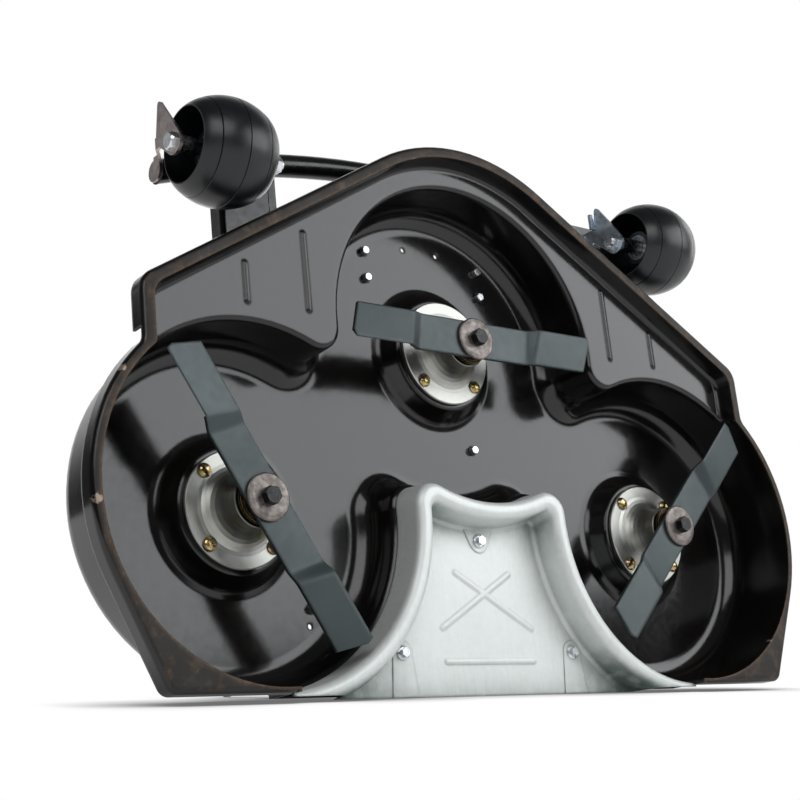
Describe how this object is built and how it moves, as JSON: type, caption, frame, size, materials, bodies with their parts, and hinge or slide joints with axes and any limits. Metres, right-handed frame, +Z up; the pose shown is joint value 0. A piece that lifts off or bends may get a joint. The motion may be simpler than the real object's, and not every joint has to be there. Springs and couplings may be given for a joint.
{
  "type": "lawn mower deck",
  "caption": "Front-mounted mulching mower deck with overlapping blade chambers, a bolted rear plug, belt-driven spindles and support wheels, standing on its rear edge for service.",
  "frame": {"origin": "bottom centre of the bounding box, on the floor that the deck stands on for service", "axes": "+X across the deck to its right side seen from the cutting side, +Y from the cutting side to the belt side, +Z up, towards the deck's front edge, which leans back by 9 degrees"},
  "size_m": [1.0758, 0.2592, 0.6804],
  "materials": {
    "shell_paint": "gloss black",
    "carrier_paint": "satin black",
    "galvanised": "pale galvanised sheet",
    "zinc": "bright zinc plating",
    "yellow_zinc": "yellow zinc plating",
    "cast_alloy": "machined casting",
    "bearing_steel": "ground",
    "blade_steel": "blue-grey coating",
    "washer_steel": "bare steel with a rust tint",
    "black_oxide": "black oxide",
    "pulley_steel": "pressed steel",
    "belt_rubber": "cloth-covered rubber",
    "wheel_plastic": "satin moulded"
  },
  "bodies": {
    "deck": {"axle_bolts": "zinc", "axle_nuts": "zinc", "bracket_bolts": "zinc", "carrier_arm_left": "carrier_paint", "carrier_arm_right": "carrier_paint", "coupling_plate_left": "carrier_paint", "coupling_plate_right": "carrier_paint", "cover_bolts": "zinc", "cross_member": "carrier_paint", "deck_shell": "shell_paint", "drive_belt": "belt_rubber", "front_bow": "carrier_paint", "hitch_bushes": "zinc", "housing_bolts": "yellow_zinc", "housing_nuts": "zinc", "idler_bracket": "carrier_paint", "idler_nut": "zinc", "mulch_plug": "galvanised", "plug_bolts": "zinc", "spindle_bearings_centre": "bearing_steel", "spindle_bearings_left": "bearing_steel", "spindle_bearings_right": "bearing_steel", "spindle_housing_centre": "cast_alloy", "spindle_housing_left": "cast_alloy", "spindle_housing_right": "cast_alloy", "wheel_post_left": "carrier_paint", "wheel_post_right": "carrier_paint", "wheel_sleeves": "zinc", "yoke_inner_left": "zinc", "yoke_inner_right": "zinc", "yoke_outer_left": "zinc", "yoke_outer_right": "zinc"},
    "spindle_left": {"spindle_shaft_left": "bearing_steel", "blade_collar_left": "yellow_zinc", "blade_left": "blade_steel", "blade_washer_left": "washer_steel", "blade_bolt_left": "black_oxide", "spindle_pulley_left": "pulley_steel", "pulley_nut_left": "zinc"},
    "spindle_centre": {"spindle_shaft_centre": "bearing_steel", "blade_collar_centre": "yellow_zinc", "blade_centre": "blade_steel", "blade_washer_centre": "washer_steel", "blade_bolt_centre": "black_oxide", "spindle_pulley_centre": "pulley_steel", "pulley_nut_centre": "zinc", "drive_pulley": "pulley_steel"},
    "spindle_right": {"spindle_shaft_right": "bearing_steel", "blade_collar_right": "yellow_zinc", "blade_right": "blade_steel", "blade_washer_right": "washer_steel", "blade_bolt_right": "black_oxide", "spindle_pulley_right": "pulley_steel", "pulley_nut_right": "zinc"},
    "idler": {"idler_pulley": "pulley_steel"},
    "wheel_left": {"wheel_left": "wheel_plastic", "wheel_bearings_left": "bearing_steel"},
    "wheel_right": {"wheel_right": "wheel_plastic", "wheel_bearings_right": "bearing_steel"}
  },
  "joints": [
    {"name": "spindle_left_spin", "type": "hinge", "parent": "deck", "child": "spindle_left", "pos_m": [-0.324, -0.02396, 0.20551], "axis": [0, 0.9877, -0.1564], "continuous": true},
    {"name": "spindle_centre_spin", "type": "hinge", "parent": "deck", "child": "spindle_centre", "pos_m": [0, 0.01046, 0.4228], "axis": [0, 0.9877, -0.1564], "continuous": true},
    {"name": "spindle_right_spin", "type": "hinge", "parent": "deck", "child": "spindle_right", "pos_m": [0.324, -0.02396, 0.20551], "axis": [0, 0.9877, -0.1564], "continuous": true},
    {"name": "idler_spin", "type": "hinge", "parent": "deck", "child": "idler", "pos_m": [0.122, 0.08696, 0.41994], "axis": [0, 0.9877, -0.1564], "continuous": true},
    {"name": "wheel_left_roll", "type": "hinge", "parent": "deck", "child": "wheel_left", "pos_m": [-0.3497, -0.01487, 0.60804], "axis": [1, 0, 0], "continuous": true},
    {"name": "wheel_right_roll", "type": "hinge", "parent": "deck", "child": "wheel_right", "pos_m": [0.3497, -0.01487, 0.60804], "axis": [1, 0, 0], "continuous": true}
  ],
  "couplings": [
    {"joint": "spindle_left_spin", "follows": "spindle_centre_spin", "ratio": 1},
    {"joint": "spindle_right_spin", "follows": "spindle_centre_spin", "ratio": 1},
    {"joint": "idler_spin", "follows": "spindle_centre_spin", "ratio": -1.875}
  ]
}
